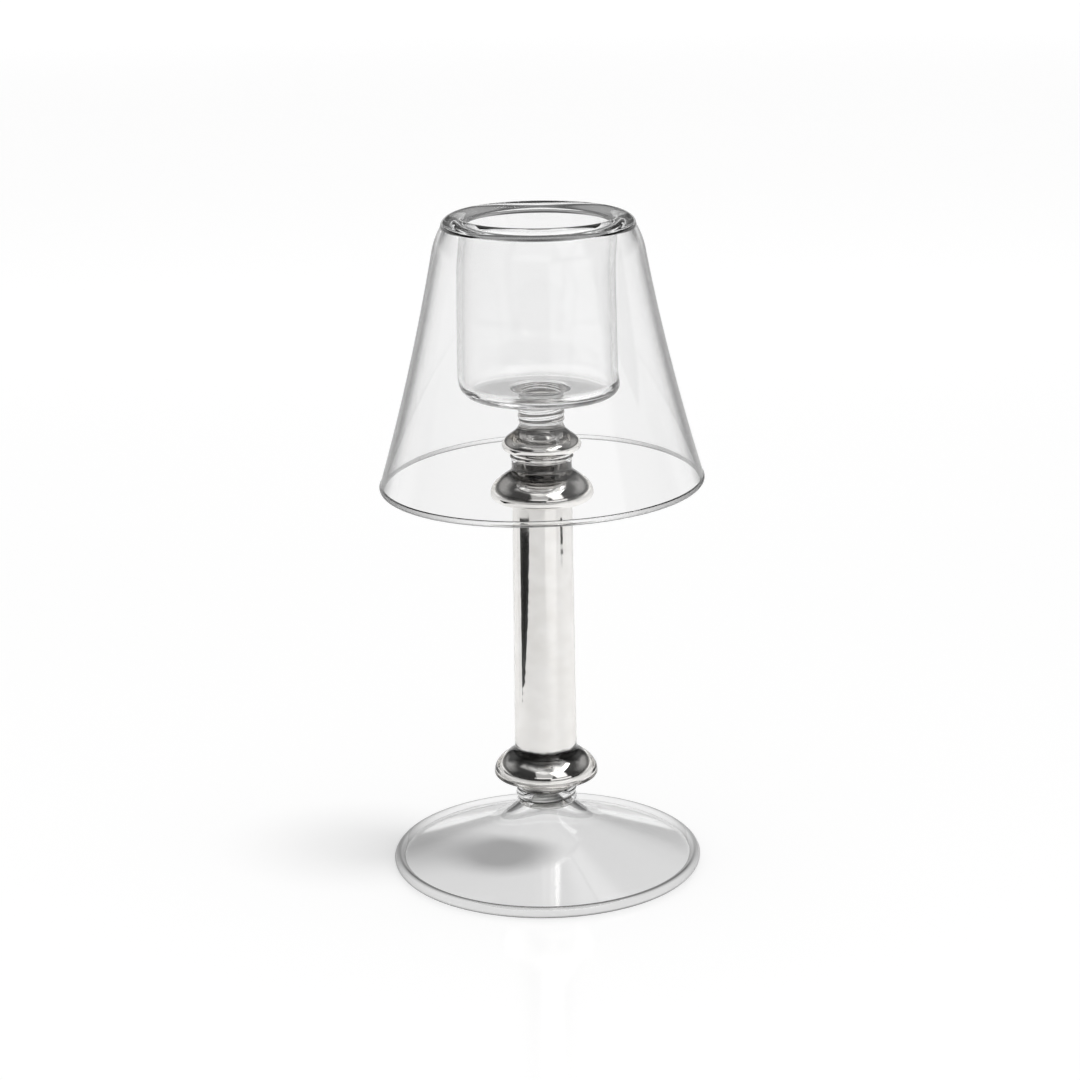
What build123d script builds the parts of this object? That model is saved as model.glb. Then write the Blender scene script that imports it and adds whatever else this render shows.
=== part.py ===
"""Candle lamp of clear blown glass: a flared foot on a rolled rim, a silvered hollow stem with
three knops, a candle cup on a clear neck and a flared shade that hangs from the cup's rim ring.

Every piece is turned about the upright axis. Millimetres, +Z up, origin on the table under the foot.
"""

import os
from math import atan2, cos, degrees, radians, sin, sqrt, tan

from build123d import *

# Foot
FOOT_RADIUS = 49.5  # outside of the rolled rim
FOOT_HEIGHT = 20.0  # table to the collar
FOOT_WALL = 1.2  # glass of the foot, measured upright
FOOT_RIM_LIP = 1.2  # how far the rolled rim stands proud of the wall, above and below
FOOT_REST_WIDTH = 1.2  # flat ground under the rolled rim
FOOT_SLOPE = 20.5  # degrees the foot rises from the rim
FOOT_SWEEP_RADIUS = 20.0  # where the slope starts to sweep up to the collar

# Collar between foot and lower knop
COLLAR_RADIUS = 8.9  # in the grooves
COLLAR_HEIGHT = 9.4
COLLAR_WRAPS = 3  # rounded wraps of glass, one above the other
COLLAR_WRAP_BULGE = 0.55
FILL_BORE_RADIUS = 5.0  # the hole that the silvering went in by
PLUG_LENGTH = 4.0
PLUG_OUT = 0.8  # how far the plug stands out below the fill hole

# Stem
STEM_LENGTH = 81.8
STEM_RADIUS_LOW = 9.9
STEM_RADIUS_HIGH = 9.4
STEM_WALL = 2.0
SEAM_FILLET = 1.2  # sweep where the stem meets the upper knop

# Knops: a level underside, a round edge, and a flare from the edge up to the tube above
KNOP_FLARE = (0.56, 0.27)  # how upright the flare leaves the edge and the tube, as shares of its height
LOWER_KNOP_RADIUS = 16.5
LOWER_KNOP_HEIGHT = 9.6
LOWER_KNOP_EDGE = 0.9
LOWER_KNOP_WALL = 1.3  # glass outside the hollow
UPPER_KNOP_RADIUS = 16.1
UPPER_KNOP_HEIGHT = 10.2
UPPER_KNOP_EDGE = 2.0
UPPER_KNOP_WALL = 1.0
SMALL_KNOP_FLARE = (0.36, 0.50)
SMALL_KNOP_RADIUS = 12.4
SMALL_KNOP_HEIGHT = 9.2
SMALL_KNOP_EDGE = 2.0
SMALL_KNOP_WALL = 1.3

# Hollows inside the knops
LOWER_HOLLOW_FLOOR = 1.2  # glass under the hollow
LOWER_HOLLOW_EDGE = 0.9  # round between floor and flare
UPPER_HOLLOW_FLOOR = 1.2
UPPER_HOLLOW_EDGE = 1.4
SMALL_HOLLOW_FLOOR = 1.2
SMALL_HOLLOW_EDGE = 1.2
HOLLOW_TOP_RADIUS = 4.6  # where the hollow starts to close
HOLLOW_TOP_DROP = 2.0  # that place below the neck
HOLLOW_DOME_RISE = 1.0  # closed end of the hollow

# Waist between the upper and the small knop
WAIST_HEIGHT = 5.4
WAIST_RADIUS = 9.4
WAIST_WALL_LOW = 2.6
WAIST_WALL_HIGH = 4.4
WAIST_RING_HEIGHT = 1.4  # one wrap of glass round the waist
WAIST_RING_BULGE = 0.5
WAIST_RING_DROP = 1.0  # top of that wrap below the small knop

# Neck under the cup
NECK_RADIUS = 6.8
NECK_HEIGHT = 8.4
NECK_FLARE = 2.6  # sweep onto the cup
NECK_WRAPS = 3
NECK_WRAP_BULGE = 0.35

# Silvering on the wall of the hollow
SILVER_FILM = 0.2

# Candle cup
CUP_BORE_RADIUS = 22.3
CUP_WALL = 1.8
CUP_HEIGHT = 52.6  # underside of the cup to the rim ring
CUP_FLOOR = 2.6
CUP_CORNER = 2.4  # inside radius between wall and floor
CUP_KICK_RADIUS = 9.0  # low dome in the floor, over the neck
CUP_KICK_RISE = 1.0

# Rim ring that joins cup and shade
RIM_RING_HEIGHT = 3.4
RIM_RING_EDGE = 1.3  # straight inside of the ring, over the cup
RIM_RING_ARCH = 0.8  # rise of the arched roof over the air gap

# Shade
SHADE_TOP_RADIUS = 29.9  # outside, at the rim ring
SHADE_SHOULDER_RADIUS = 32.7  # outside, where the shoulder ends
SHADE_SHOULDER_DROP = 7.6
SHADE_HEM_RADIUS = 50.3  # outside, at the hem
SHADE_DROP = 79.4  # rim ring to hem
SHADE_BOW = 1.0  # how far the flank bows in from a straight line
SHADE_WALL = 1.2  # glass of the shade, measured level
SHADE_HEM_LIP = 0.15  # how far the hem's bead stands proud of the wall on each side

# Heights of the seams, from the table up
foot_bead = FOOT_WALL / 2 + FOOT_RIM_LIP
foot_bead_centre = FOOT_RADIUS - foot_bead
foot_seam_radius = foot_bead_centre - sqrt(foot_bead**2 - (FOOT_WALL / 2) ** 2)
rest_lift = foot_bead - sqrt(foot_bead**2 - (FOOT_REST_WIDTH / 2) ** 2)
bead_height = foot_bead - rest_lift
foot_edge_low = bead_height - FOOT_WALL / 2
foot_edge_high = bead_height + FOOT_WALL / 2
slope = radians(FOOT_SLOPE)
sweep_height = foot_edge_high + (foot_seam_radius - FOOT_SWEEP_RADIUS) * tan(slope)
under_radius = FOOT_SWEEP_RADIUS - FOOT_WALL
under_height = foot_edge_low + (foot_seam_radius - under_radius) * tan(slope)
plug_low = FOOT_HEIGHT - PLUG_OUT
plug_high = plug_low + PLUG_LENGTH

lower_knop_low = FOOT_HEIGHT + COLLAR_HEIGHT
stem_low = lower_knop_low + LOWER_KNOP_HEIGHT
stem_high = stem_low + STEM_LENGTH
waist_low = stem_high + UPPER_KNOP_HEIGHT
small_knop_low = waist_low + WAIST_HEIGHT
neck_low = small_knop_low + SMALL_KNOP_HEIGHT
cup_low = neck_low + NECK_HEIGHT
ring_low = cup_low + CUP_HEIGHT
lamp_height = ring_low + RIM_RING_HEIGHT
hem_seam = ring_low - SHADE_DROP

stem_bore_low = STEM_RADIUS_LOW - STEM_WALL
stem_bore_high = STEM_RADIUS_HIGH - STEM_WALL
waist_bore_low = WAIST_RADIUS - WAIST_WALL_LOW
waist_bore_high = WAIST_RADIUS - WAIST_WALL_HIGH
cup_radius = CUP_BORE_RADIUS + CUP_WALL


class Outline:
    """An outline in (radius, height), drawn edge by edge from a starting point."""

    def __init__(self, radius, height):
        self.start = self.end = (radius, height)
        self.edges = []

    def add(self, edge, to):
        """Goes on along an edge that ends at a point."""
        self.edges.append(edge)
        self.end = to
        return self

    def line(self, radius, height):
        """Straight on to a point; a point that is already reached adds nothing."""
        to = (radius, height)
        if (Vector(*to) - Vector(*self.end)).length < 1e-9:
            return self
        return self.add(Line(self.end, to), to)

    def arc(self, through, to):
        """Round on to a point, by way of another."""
        return self.add(ThreePointArc(self.end, through, to), to)

    def sweep(self, leaving, to):
        """Round on to a point, leaving in a direction."""
        return self.add(TangentArc(self.end, to, tangent=leaving), to)

    def flare(self, leaving, arriving, to):
        """An S-curve that is upright at both ends, for shares of its height."""
        rise = to[1] - self.end[1]
        first = (self.end[0], self.end[1] + leaving * rise)
        last = (to[0], to[1] - arriving * rise)
        return self.add(Bezier(self.end, first, last, to), to)

    def quarter(self, to, centre):
        """A quarter circle or oval to a point; the centre is level with one end, upright to the other."""
        wide, high = abs(to[0] - self.end[0]), abs(to[1] - self.end[1])
        first = degrees(atan2(self.end[1] - centre[1], self.end[0] - centre[0]))
        last = degrees(atan2(to[1] - centre[1], to[0] - centre[0]))
        turn = (last - first + 180) % 360 - 180
        if abs(wide - high) < 1e-9:
            half_way = radians(first + turn / 2)
            return self.arc((centre[0] + wide * cos(half_way), centre[1] + high * sin(half_way)), to)
        return self.add(EllipticalCenterArc(centre, wide, high, start_angle=first, arc_size=turn), to)

    def turned(self):
        """Closes the outline and turns it about the upright axis."""
        self.line(*self.start)
        return revolve(Plane.XZ * make_face(self.edges), Axis.Z)


def turned_wall(inside, outside):
    """The glass between an inner and an outer outline, closed by a seam at each end."""
    seams = [Line(inside.start, outside.start), Line(inside.end, outside.end)]
    return revolve(Plane.XZ * make_face(inside.edges + outside.edges + seams), Axis.Z)


def wraps(outline, radius, bulge, low, high, count):
    """Adds rounded wraps of glass, one above the other, between two heights of a tube's outside."""
    step = (high - low) / count
    for i in range(count):
        z = low + i * step
        outline.arc((radius + bulge, z + step / 2), (radius, z + step))
    return outline


def knop_side(outline, radius, edge, low, flare, tube, high):
    """Adds the side of a knop, upwards: level out to its round edge, and in by a flare to a tube."""
    outline.line(radius - edge, low).quarter((radius, low + edge), (radius - edge, low + edge))
    return outline.flare(*flare, (tube, high))


def dome_point(radius, rise, base):
    """A point half way out on a round dome of that base radius and rise."""
    ball = (radius**2 + rise**2) / (2 * rise)
    return radius / 2, base + rise - ball + sqrt(ball**2 - (radius / 2) ** 2)


def foot():
    """The flared foot: a sloping wall that sweeps up to the collar, hollow below up to the fill hole."""
    way = (-cos(slope), sin(slope))
    inside = Outline(foot_seam_radius, foot_edge_low).line(under_radius, under_height)
    inside.sweep(way, (FILL_BORE_RADIUS, FOOT_HEIGHT))
    outside = Outline(foot_seam_radius, foot_edge_high).line(FOOT_SWEEP_RADIUS, sweep_height)
    outside.sweep(way, (COLLAR_RADIUS, FOOT_HEIGHT))
    return turned_wall(inside, outside)


def foot_rim():
    """The rolled rim that the lamp stands on: a round bead, ground flat below, fused to the foot."""
    rest = FOOT_REST_WIDTH / 2
    turn = Vector(foot_seam_radius - foot_bead_centre - rest, foot_edge_low - bead_height - foot_bead)
    low_round = Vector(foot_bead_centre, bead_height) + turn.normalized() * foot_bead
    outline = Outline(foot_seam_radius, foot_edge_high)
    outline.arc((foot_bead_centre + foot_bead, bead_height), (foot_bead_centre + rest, 0))
    outline.line(foot_bead_centre - rest, 0)
    outline.arc((low_round.X, low_round.Y), (foot_seam_radius, foot_edge_low))
    return outline.turned()


def foot_collar():
    """The short collar between foot and lower knop, wound with wraps of glass."""
    outline = Outline(FILL_BORE_RADIUS, FOOT_HEIGHT).line(COLLAR_RADIUS, FOOT_HEIGHT)
    wraps(outline, COLLAR_RADIUS, COLLAR_WRAP_BULGE, FOOT_HEIGHT, lower_knop_low, COLLAR_WRAPS)
    return outline.line(FILL_BORE_RADIUS, lower_knop_low).turned()


def seal_plug():
    """The soft plug that closes the fill hole from below."""
    outline = Outline(0, plug_low).line(FILL_BORE_RADIUS, plug_low)
    return outline.line(FILL_BORE_RADIUS, plug_high).line(0, plug_high).turned()


def lower_hollow(outline, inset=0):
    """Adds the wall of the lower knop's hollow, fill hole to stem bore, moved in by an inset."""
    floor = lower_knop_low + LOWER_HOLLOW_FLOOR + inset
    radius, edge = LOWER_KNOP_RADIUS - LOWER_KNOP_WALL - inset, LOWER_HOLLOW_EDGE - inset
    outline.line(FILL_BORE_RADIUS - inset, floor)
    return knop_side(outline, radius, edge, floor, KNOP_FLARE, stem_bore_low - inset, stem_low)


def upper_hollow(outline, inset=0):
    """Adds the wall of the upper knop's hollow, stem bore to waist bore, moved in by an inset."""
    floor = stem_high + UPPER_HOLLOW_FLOOR + inset
    radius, edge = UPPER_KNOP_RADIUS - UPPER_KNOP_WALL - inset, UPPER_HOLLOW_EDGE - inset
    outline.line(stem_bore_high - inset, floor)
    return knop_side(outline, radius, edge, floor, KNOP_FLARE, waist_bore_low - inset, waist_low)


def small_hollow(outline, inset=0):
    """Adds the wall of the small knop's hollow, waist bore to its closed end, moved in by an inset."""
    floor = small_knop_low + SMALL_HOLLOW_FLOOR + inset
    radius, edge = SMALL_KNOP_RADIUS - SMALL_KNOP_WALL - inset, SMALL_HOLLOW_EDGE - inset
    top, top_radius = neck_low - HOLLOW_TOP_DROP, HOLLOW_TOP_RADIUS - inset
    rise = HOLLOW_DOME_RISE - inset
    outline.line(waist_bore_high - inset, small_knop_low).line(waist_bore_high - inset, floor)
    knop_side(outline, radius, edge, floor, SMALL_KNOP_FLARE, top_radius, top)
    return outline.arc(dome_point(top_radius, rise, top), (0, top + rise))


def lower_knop():
    """The knop over the collar, hollow inside like the stem."""
    inside = lower_hollow(Outline(FILL_BORE_RADIUS, lower_knop_low))
    outside = Outline(COLLAR_RADIUS, lower_knop_low)
    tube = (STEM_RADIUS_LOW, stem_low)
    knop_side(outside, LOWER_KNOP_RADIUS, LOWER_KNOP_EDGE, lower_knop_low, KNOP_FLARE, *tube)
    return turned_wall(inside, outside)


def stem_tube():
    """The tapered tube of the stem, swept out onto the upper knop."""
    top, fillet_low = STEM_RADIUS_HIGH + SEAM_FILLET, stem_high - SEAM_FILLET
    outline = Outline(stem_bore_low, stem_low).line(STEM_RADIUS_LOW, stem_low)
    outline.line(STEM_RADIUS_HIGH, fillet_low).quarter((top, stem_high), (top, fillet_low))
    return outline.line(stem_bore_high, stem_high).turned()


def upper_knop():
    """The wide knop at the top of the stem."""
    inside = upper_hollow(Outline(stem_bore_high, stem_high))
    outside = Outline(STEM_RADIUS_HIGH + SEAM_FILLET, stem_high)
    tube = (WAIST_RADIUS, waist_low)
    knop_side(outside, UPPER_KNOP_RADIUS, UPPER_KNOP_EDGE, stem_high, KNOP_FLARE, *tube)
    return turned_wall(inside, outside)


def stem_waist():
    """The short tube between the upper and the small knop: a tapered bore, and one wrap of glass outside."""
    ring_high = small_knop_low - WAIST_RING_DROP
    wrap_low = ring_high - WAIST_RING_HEIGHT
    outline = Outline(waist_bore_low, waist_low).line(WAIST_RADIUS, waist_low).line(WAIST_RADIUS, wrap_low)
    wraps(outline, WAIST_RADIUS, WAIST_RING_BULGE, wrap_low, ring_high, 1)
    return outline.line(WAIST_RADIUS, small_knop_low).line(waist_bore_high, small_knop_low).turned()


def small_knop():
    """The small knop under the neck, where the hollow closes."""
    inside = small_hollow(Outline(waist_bore_high, small_knop_low)).line(0, neck_low)
    outside = Outline(WAIST_RADIUS, small_knop_low)
    tube = (NECK_RADIUS, neck_low)
    knop_side(outside, SMALL_KNOP_RADIUS, SMALL_KNOP_EDGE, small_knop_low, SMALL_KNOP_FLARE, *tube)
    return turned_wall(inside, outside)


def cup_neck():
    """The clear solid neck that carries the cup, wound with low wraps."""
    flare_radius, flare_low = NECK_RADIUS + NECK_FLARE, cup_low - NECK_FLARE
    outline = Outline(0, neck_low).line(NECK_RADIUS, neck_low)
    wraps(outline, NECK_RADIUS, NECK_WRAP_BULGE, neck_low, flare_low, NECK_WRAPS)
    outline.quarter((flare_radius, cup_low), (flare_radius, flare_low))
    return outline.line(0, cup_low).turned()


def silver_lining():
    """The mirror film on the wall of the hollow, from the plug up to the closed end under the neck."""

    def hollow(inset):
        """The hollow that the film lines, with its wall, floors and roof moved in by an inset."""
        outline = Outline(0, plug_high).line(FILL_BORE_RADIUS - inset, plug_high)
        lower_hollow(outline, inset).line(stem_bore_high - inset, stem_high)
        return small_hollow(upper_hollow(outline, inset), inset).turned()

    return hollow(0) - hollow(SILVER_FILM)


def candle_cup():
    """The straight cup for a small candle, with rounded corners and a low dome in its floor."""
    corner = CUP_CORNER + CUP_WALL
    floor = cup_low + CUP_FLOOR
    corner_centre = (CUP_BORE_RADIUS - CUP_CORNER, floor + CUP_CORNER)
    kick_top = (0, floor + CUP_KICK_RISE)
    outline = Outline(0, cup_low).line(cup_radius - corner, cup_low)
    outline.quarter((cup_radius, cup_low + corner), (cup_radius - corner, cup_low + corner))
    outline.line(cup_radius, ring_low).line(CUP_BORE_RADIUS, ring_low)
    outline.line(CUP_BORE_RADIUS, floor + CUP_CORNER)
    outline.quarter((CUP_BORE_RADIUS - CUP_CORNER, floor), corner_centre)
    outline.line(CUP_KICK_RADIUS, floor)
    return outline.arc(dome_point(CUP_KICK_RADIUS, CUP_KICK_RISE, floor), kick_top).turned()


def rim_ring():
    """The thick rounded ring that closes the gap between the cup's mouth and the shade's top."""
    edge = ring_low + RIM_RING_EDGE
    shade_inside = SHADE_TOP_RADIUS - SHADE_WALL
    crest = (CUP_BORE_RADIUS + SHADE_TOP_RADIUS) / 2
    roof = ((cup_radius + shade_inside) / 2, ring_low + RIM_RING_ARCH)
    outline = Outline(CUP_BORE_RADIUS, edge).line(CUP_BORE_RADIUS, ring_low).line(cup_radius, ring_low)
    outline.arc(roof, (shade_inside, ring_low)).line(SHADE_TOP_RADIUS, ring_low)
    outline.quarter((crest, lamp_height), (crest, ring_low))
    return outline.quarter((CUP_BORE_RADIUS, edge), (crest, edge)).turned()


def flank(inset):
    """The shade's bowed flank and its shoulder, from the hem up to the rim ring, moved in by an inset."""
    top = (SHADE_TOP_RADIUS - inset, ring_low)
    shoulder = Vector(SHADE_SHOULDER_RADIUS - inset, ring_low - SHADE_SHOULDER_DROP)
    hem = Vector(SHADE_HEM_RADIUS - inset, hem_seam)
    along = shoulder - hem
    middle = (shoulder + hem) / 2 + Vector(-along.Y, along.X).normalized() * SHADE_BOW
    outline = Outline(hem.X, hem.Y).arc((middle.X, middle.Y), (shoulder.X, shoulder.Y))
    return outline.sweep(outline.edges[-1] % 1, top)


def shade():
    """The flared shade, open below, with a rounded shoulder under the rim ring."""
    return turned_wall(flank(SHADE_WALL), flank(0))


def shade_hem():
    """The bead along the shade's lower edge, with a level seat for the wall."""
    bead = SHADE_WALL / 2 + SHADE_HEM_LIP
    middle = SHADE_HEM_RADIUS - SHADE_WALL / 2
    bottom = hem_seam - sqrt(bead**2 - (SHADE_WALL / 2) ** 2) - bead
    outline = Outline(SHADE_HEM_RADIUS, hem_seam)
    return outline.arc((middle, bottom), (SHADE_HEM_RADIUS - SHADE_WALL, hem_seam)).turned()


PIECES = (
    foot,
    foot_rim,
    foot_collar,
    seal_plug,
    lower_knop,
    stem_tube,
    upper_knop,
    stem_waist,
    small_knop,
    cup_neck,
    silver_lining,
    candle_cup,
    rim_ring,
    shade,
    shade_hem,
)


def main():
    os.makedirs("parts", exist_ok=True)
    for piece in PIECES:
        export_step(piece(), os.path.join("parts", piece.__name__ + ".step"))
    print(f"lamp {lamp_height:.1f} mm high, shade {2 * SHADE_HEM_RADIUS:.1f} mm across")


if __name__ == "__main__":
    main()
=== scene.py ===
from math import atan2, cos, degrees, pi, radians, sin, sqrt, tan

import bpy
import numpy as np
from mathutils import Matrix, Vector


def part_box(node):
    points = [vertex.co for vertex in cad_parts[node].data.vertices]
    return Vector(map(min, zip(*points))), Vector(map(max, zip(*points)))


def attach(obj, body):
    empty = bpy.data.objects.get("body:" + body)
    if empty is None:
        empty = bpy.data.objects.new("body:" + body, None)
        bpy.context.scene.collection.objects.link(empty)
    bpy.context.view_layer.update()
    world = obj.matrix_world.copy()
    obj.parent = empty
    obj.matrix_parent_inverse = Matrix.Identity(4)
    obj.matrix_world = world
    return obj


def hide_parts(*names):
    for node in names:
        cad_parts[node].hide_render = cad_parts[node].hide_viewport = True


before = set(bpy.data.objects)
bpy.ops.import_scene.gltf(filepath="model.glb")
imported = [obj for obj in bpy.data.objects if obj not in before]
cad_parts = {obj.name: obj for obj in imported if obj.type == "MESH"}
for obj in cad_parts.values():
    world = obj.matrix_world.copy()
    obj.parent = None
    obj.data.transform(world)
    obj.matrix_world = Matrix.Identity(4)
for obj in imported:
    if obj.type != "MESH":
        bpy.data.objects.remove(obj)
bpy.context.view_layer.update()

# Candle lamp of clear blown glass with a silvered stem.
#
# Every piece is an outline in (radius, height) turned about the lamp's upright axis. The glass pieces are
# fused to each other in the real lamp, so their outlines meet ring on ring, and the faces between two of
# them are seams that light passes straight through. Outlines are in millimetres, meshes in metres.

MM = 0.001
AROUND = 256  # points in every ring
CREASE = 40.0  # degrees by which an outline turns where it is shaded as an edge
ON_AXIS = 1e-6  # a radius below this is on the axis
ON_TUBE = 0.01  # a radius this little below a tube's is on its outside

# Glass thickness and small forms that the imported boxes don't tell
FOOT_WALL = 1.2
FOOT_RIM_LIP = 1.2  # how far the rim's bead stands out from the wall, on each side
FOOT_SLOPE = 20.5  # degrees
FOOT_SWEEP_RADIUS = 20.0
COLLAR_RADIUS = 8.9
COLLAR_WRAPS = 3
COLLAR_WRAP_BULGE = 0.8
FILL_BORE_RADIUS = 5.0
STEM_RADIUS_LOW = 9.9
STEM_RADIUS_HIGH = 9.4
STEM_WALL = 2.0
SEAM_FILLET = 1.2
KNOP_FLARE = (0.56, 0.27)  # how upright the flare leaves the edge and the tube, as shares of its height
LOWER_KNOP_EDGE = 0.9
LOWER_KNOP_WALL = 1.3
LOWER_HOLLOW_FLOOR = 0.7  # glass under the hollow
LOWER_HOLLOW_EDGE = 0.9
UPPER_KNOP_EDGE = 2.0
UPPER_KNOP_WALL = 1.0
UPPER_HOLLOW_FLOOR = 0.6  # glass under the hollow
UPPER_HOLLOW_EDGE = 1.4
SMALL_KNOP_FLARE = (0.36, 0.50)
SMALL_KNOP_EDGE = 2.0
SMALL_KNOP_WALL = 1.3
SMALL_HOLLOW_FLOOR = 0.7  # glass under the hollow
SMALL_HOLLOW_EDGE = 1.2
HOLLOW_TOP_RADIUS = 4.6
HOLLOW_TOP_DROP = 2.0
HOLLOW_DOME_RISE = 1.0
WAIST_RADIUS = 9.4
WAIST_WALL_LOW = 2.6
WAIST_WALL_HIGH = 4.4
WAIST_BORE_UPRIGHT = 3.6  # how far below the small knop the bore stops tapering
WAIST_RING_HEIGHT = 1.4
WAIST_RING_BULGE = 0.5
WAIST_RING_DROP = 1.0
NECK_RADIUS = 6.8
NECK_FLARE = 2.6
NECK_WRAPS = 3
NECK_WRAP_BULGE = 0.45
SILVER_FILM = 0.2
SILVER_BITE = 0.04  # the film's face lies this far inside the glass, so that glass never covers it twice
CUP_WALL = 1.8
CUP_FLOOR = 2.6
CUP_CORNER = 2.4
CUP_KICK_RADIUS = 9.0
CUP_KICK_RISE = 1.0
CUP_SWELL = 0.7  # how much wider the cup is near its floor
RIM_RING_EDGE = 1.3
RIM_RING_ARCH = 0.8
SHADE_SHOULDER_RADIUS = 32.7
SHADE_SHOULDER_DROP = 7.6
SHADE_BOW = 1.0
SHADE_WALL = 1.2
SHADE_HEM_LIP = 0.35  # the same for the hem's bead
PLUG_PLAY = 0.1
PLUG_EDGE = 0.5
BEAD_TOUCH = 305.0  # degrees round the foot's bead where it no longer touches the paper

# Hand work
WOBBLE = 0.0016  # share of the radius by which blown glass is out of round
WOBBLE_WAVES = (
    # waves round, turn per millimetre up, size, start
    (2, 0.05, 1.0, 0.0),
    (3, -0.08, 0.6, 1.3),
)
HEM_SKEW = 0.020  # rise of the hem across the lamp, per millimetre to the right
HEM_LIFT = 1.9  # how much higher the hem is at the back
CUP_SHIFT = -0.9  # how far the cup's wall stands to the right
CUP_SHIFT_RISE = 8.0  # the height over which it comes, from the cup's floor
CUP_SHIFT_FADE = 14.0  # the height over which it goes, up to the ring
STRAND_ROUND = 0.7  # the power of a sine that gives a strand of glass its round back
ROPE_ENDS = 8  # a rope comes and goes in one part in this many of its height

boxes = {node: [np.array(corner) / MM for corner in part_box(node)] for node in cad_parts}


def low(node):
    """Height of a CAD node's lowest point."""
    return boxes[node][0][2]


def high(node):
    """Height of a CAD node's highest point."""
    return boxes[node][1][2]


def wide(node):
    """Largest radius of a CAD node."""
    return boxes[node][1][0]


foot_seam = wide("foot")
foot_top = high("foot")
knop_low = low("lower_knop")
stem_low = low("stem_tube")
stem_high = high("stem_tube")
waist_low = low("stem_waist")
small_low = low("small_knop")
neck_low = low("cup_neck")
cup_low = low("candle_cup")
ring_low = low("rim_ring")
hem_seam = low("shade")

rim_bead = FOOT_WALL / 2 + FOOT_RIM_LIP
rim_middle = (wide("foot_rim") - rim_bead, high("foot_rim") - rim_bead)
neck_high = cup_low - NECK_FLARE
bore_low = STEM_RADIUS_LOW - STEM_WALL
bore_high = STEM_RADIUS_HIGH - STEM_WALL
waist_bore_low = WAIST_RADIUS - WAIST_WALL_LOW
waist_bore_high = WAIST_RADIUS - WAIST_WALL_HIGH
cup_radius = wide("candle_cup")
cup_bore = cup_radius - CUP_WALL
hem_radius = wide("shade")
shade_top = wide("rim_ring")


# Outlines

def straight(start, end, count=8):
    """Points on the straight line from start to end, evenly spaced."""
    share = np.linspace(0, 1, count)[:, None]
    return (1 - share) * np.array(start) + share * np.array(end)


def bend(centre, across, up, first, last, count=24):
    """Points of an oval arc: the centre plus (across cos a, up sin a), for a from first to last degrees."""
    a = np.radians(np.linspace(first, last, count))
    return np.stack([centre[0] + across * np.cos(a), centre[1] + up * np.sin(a)], axis=1)


def dome(radius, rise, base, count=20):
    """Points from the crown of a low dome out to its edge: height falls with the square of the radius."""
    r = np.linspace(0, radius, count)
    return np.stack([r, base + rise * (1 - (r / radius) ** 2)], axis=1)


def bulging(radius, bulge, start, end, count=20):
    """Points up a bulge in a tube: the radius swells by bulge times a sine to the power STRAND_ROUND."""
    share = np.linspace(0, 1, count)
    swell = np.sin(pi * share) ** STRAND_ROUND
    return np.stack([radius + bulge * swell, start + (end - start) * share], axis=1)


def sweep(start, start_pull, end_pull, end, count=24):
    """Points of a cubic curve from start to end, pulled towards two points on the way."""
    t = np.linspace(0, 1, count)[:, None]
    weights = ((1 - t) ** 3, 3 * t * (1 - t) ** 2, 3 * t**2 * (1 - t), t**3)
    return sum(w * np.array(p) for w, p in zip(weights, (start, start_pull, end_pull, end)))


def chain(*parts):
    """Joins runs of points that share their ends into one run."""
    return np.concatenate([part[:-1] for part in parts[:-1]] + [parts[-1]])


def leaving(start, way, end, count=24):
    """Points of a round arc from start to end that leaves start in a direction: its centre lies square to
    that direction, as far from start as from end."""
    start, end = np.array(start), np.array(end)
    right = np.array((way[1], -way[0])) / np.hypot(*way)
    right = right * np.sign(np.dot(end - start, right))
    radius = np.dot(end - start, end - start) / (2 * np.dot(end - start, right))
    centre = start + radius * right
    first, last = (atan2(*(point - centre)[::-1]) for point in (start, end))
    turn = (last - first + pi) % (2 * pi) - pi
    return bend(centre, radius, radius, degrees(first), degrees(first + turn), count)


def shifted(points, distance):
    """Moves a run of points to its left by a distance, square to its own direction. Points on the axis stay
    on it."""
    way = np.gradient(points, axis=0)
    way = way / np.hypot(way[:, 0], way[:, 1])[:, None]
    moved = points + distance * np.stack([-way[:, 1], way[:, 0]], axis=1)
    moved[points[:, 0] < ON_AXIS, 0] = 0
    return moved


# Turning an outline into a piece

SKIN, FUSED = False, True  # a run of an outline is glass in the open, or a seam with the next piece


def blown(place):
    """Blown glass is a little out of round: a point moves out by a share of its radius, which is a sum of
    slow sine waves that turn with the height."""
    x, y, z = place[..., 0], place[..., 1], place[..., 2]
    a = np.arctan2(y, x)
    waves = sum(size * np.sin(count * a + turn * z + start) for count, turn, size, start in WOBBLE_WAVES)
    share = 1 + WOBBLE * waves
    return np.stack([x * share, y * share, z], axis=-1)


def skewed_hem(place):
    """The shade hangs a little skew: height grows with x, and with the square of the way to the back, times
    the squared share of the drop to the hem."""
    share = np.clip((ring_low - place[..., 2]) / (ring_low - hem_seam), 0, None)
    back = (1 + place[..., 1] / hem_radius) / 2
    lift = (HEM_SKEW * place[..., 0] + HEM_LIFT * back**2) * share**2
    return place + lift[..., None] * np.array([0, 0, 1])


def ease(share):
    """Nought below nought, one above one, and a smooth cubic step between."""
    share = np.clip(share, 0, 1)
    return share**2 * (3 - 2 * share)


def shifted_cup(place):
    """The cup's wall stands a little to one side: x grows by a step up from its floor, and by one back to
    nought under the ring."""
    z = place[..., 2]
    share = ease((z - cup_low) / CUP_SHIFT_RISE) * ease((ring_low - z) / CUP_SHIFT_FADE)
    return place + CUP_SHIFT * share[..., None] * np.array([1, 0, 0])


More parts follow.
